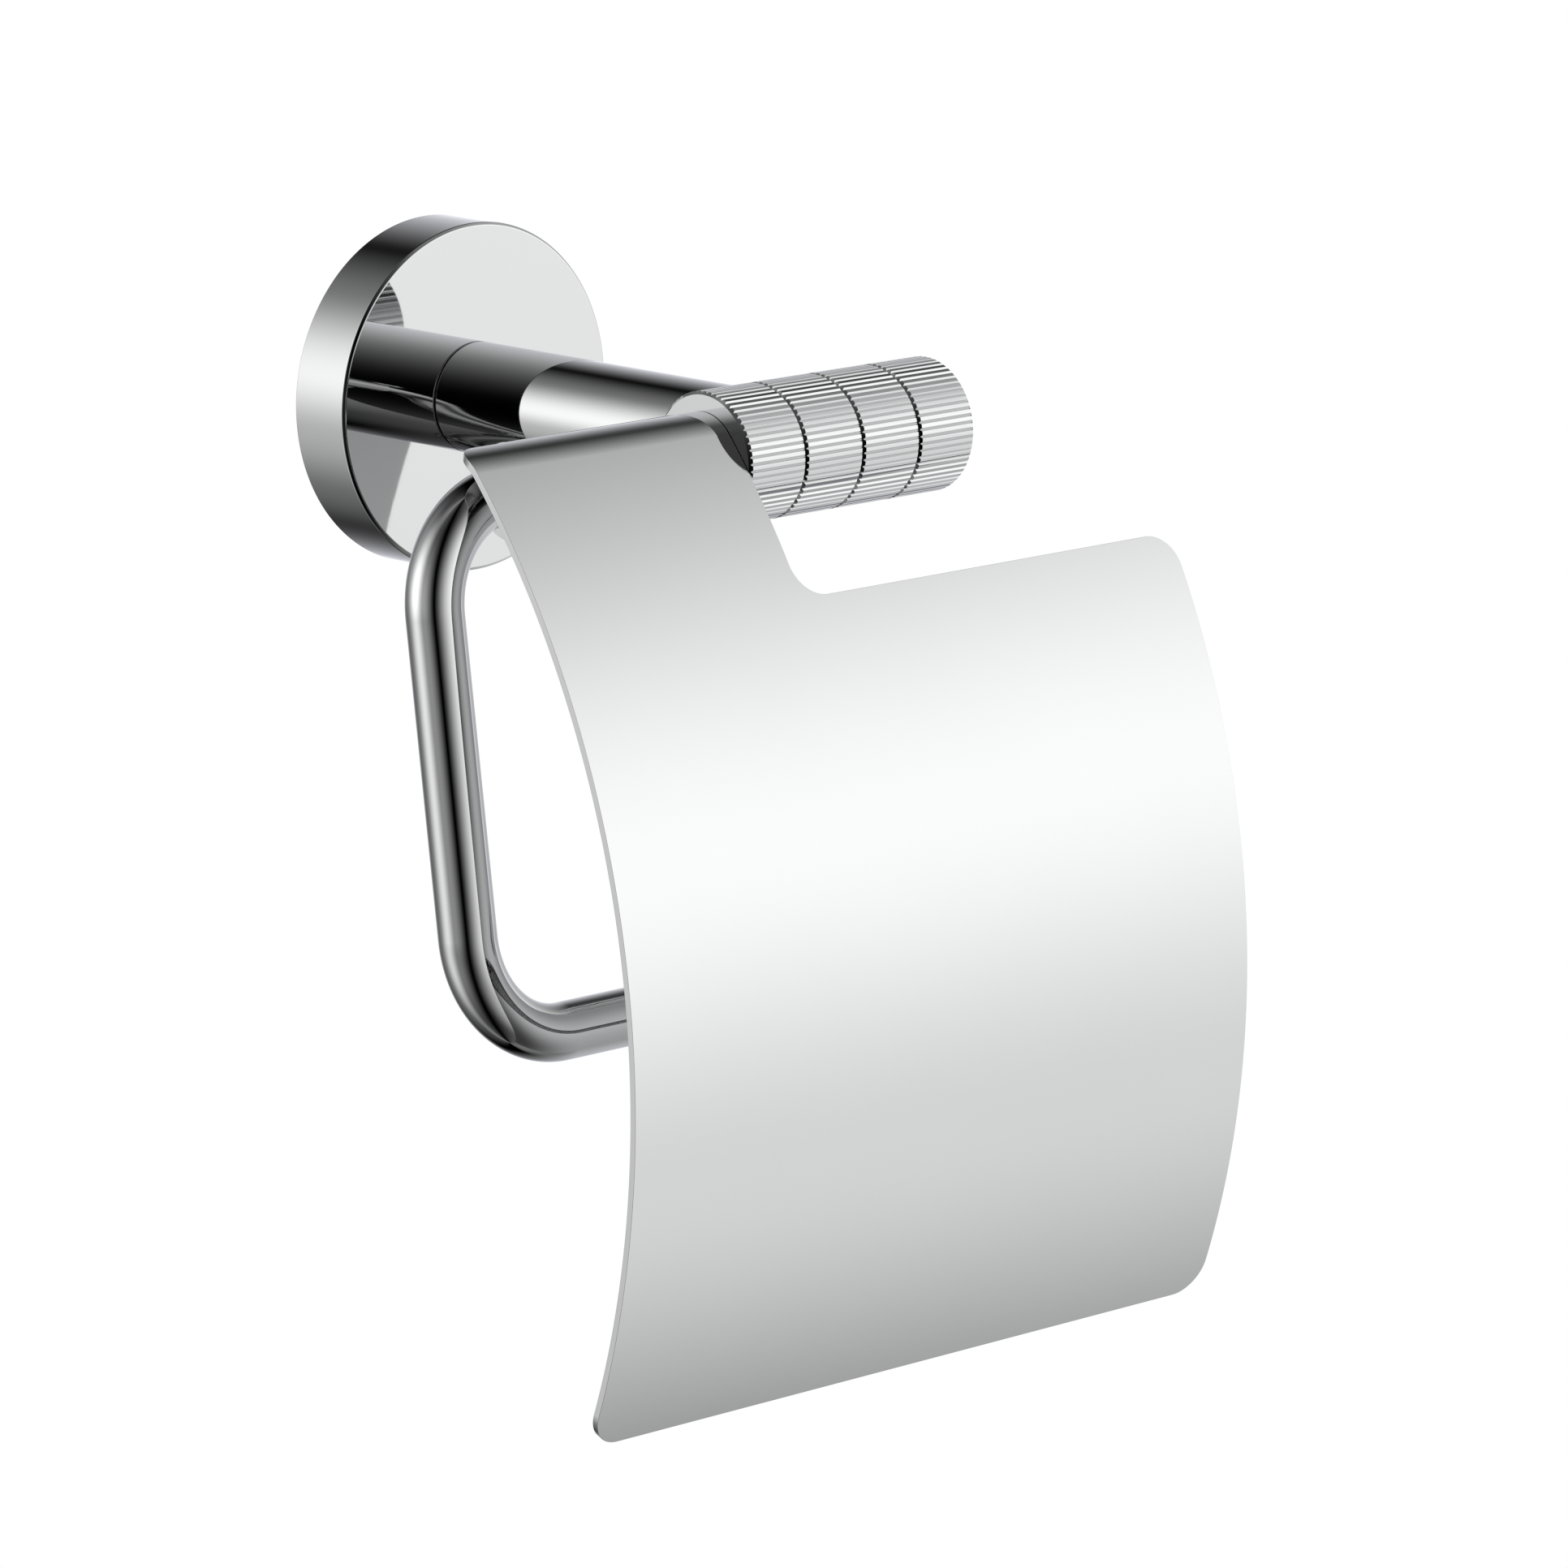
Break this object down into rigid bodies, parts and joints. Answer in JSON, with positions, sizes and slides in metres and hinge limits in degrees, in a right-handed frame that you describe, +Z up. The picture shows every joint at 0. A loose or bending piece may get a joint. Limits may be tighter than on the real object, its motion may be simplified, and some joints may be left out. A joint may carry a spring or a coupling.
{
  "type": "toilet paper holder",
  "caption": "Wall-mounted toilet paper holder: round rosette and arm, ribbed cross bar, bent wire for the roll, and a curved sheet cover that swings up on the wire.",
  "frame": {"origin": "on the wall plane, on the axis of the rosette and arm", "axes": "+X to the right along the wall, -Y out of the wall towards the user, +Z up"},
  "size_m": [0.1265, 0.1057, 0.1505],
  "materials": {
    "polished_chrome": "polished chrome plate, mirror bright",
    "zinc": "die-cast zinc, matt grey, hidden against the wall",
    "fastener_steel": "plain stainless steel screws and pins",
    "black_nylon": "thin black nylon washer",
    "white_nylon": "natural white nylon bushes"
  },
  "bodies": {
    "holder": {"wall_plate": "zinc", "rosette": "polished_chrome", "rosette_set_screw": "fastener_steel", "arm_seat_ring": "black_nylon", "arm": "polished_chrome", "arm_locating_pin": "fastener_steel", "arm_washer": "fastener_steel", "arm_screw": "fastener_steel", "arm_stud": "fastener_steel", "ribbed_bar": "polished_chrome", "wire_set_screw": "fastener_steel", "roll_wire": "polished_chrome"},
    "flap": {"cover": "polished_chrome", "hinge_bush_left": "white_nylon", "hinge_bush_right": "white_nylon"}
  },
  "joints": [
    {"name": "cover_hinge", "type": "hinge", "parent": "holder", "child": "flap", "pos_m": [-0.03, -0.0702, 0], "axis": [-1, 0, 0], "range_deg": [-15.8, 140]}
  ]
}
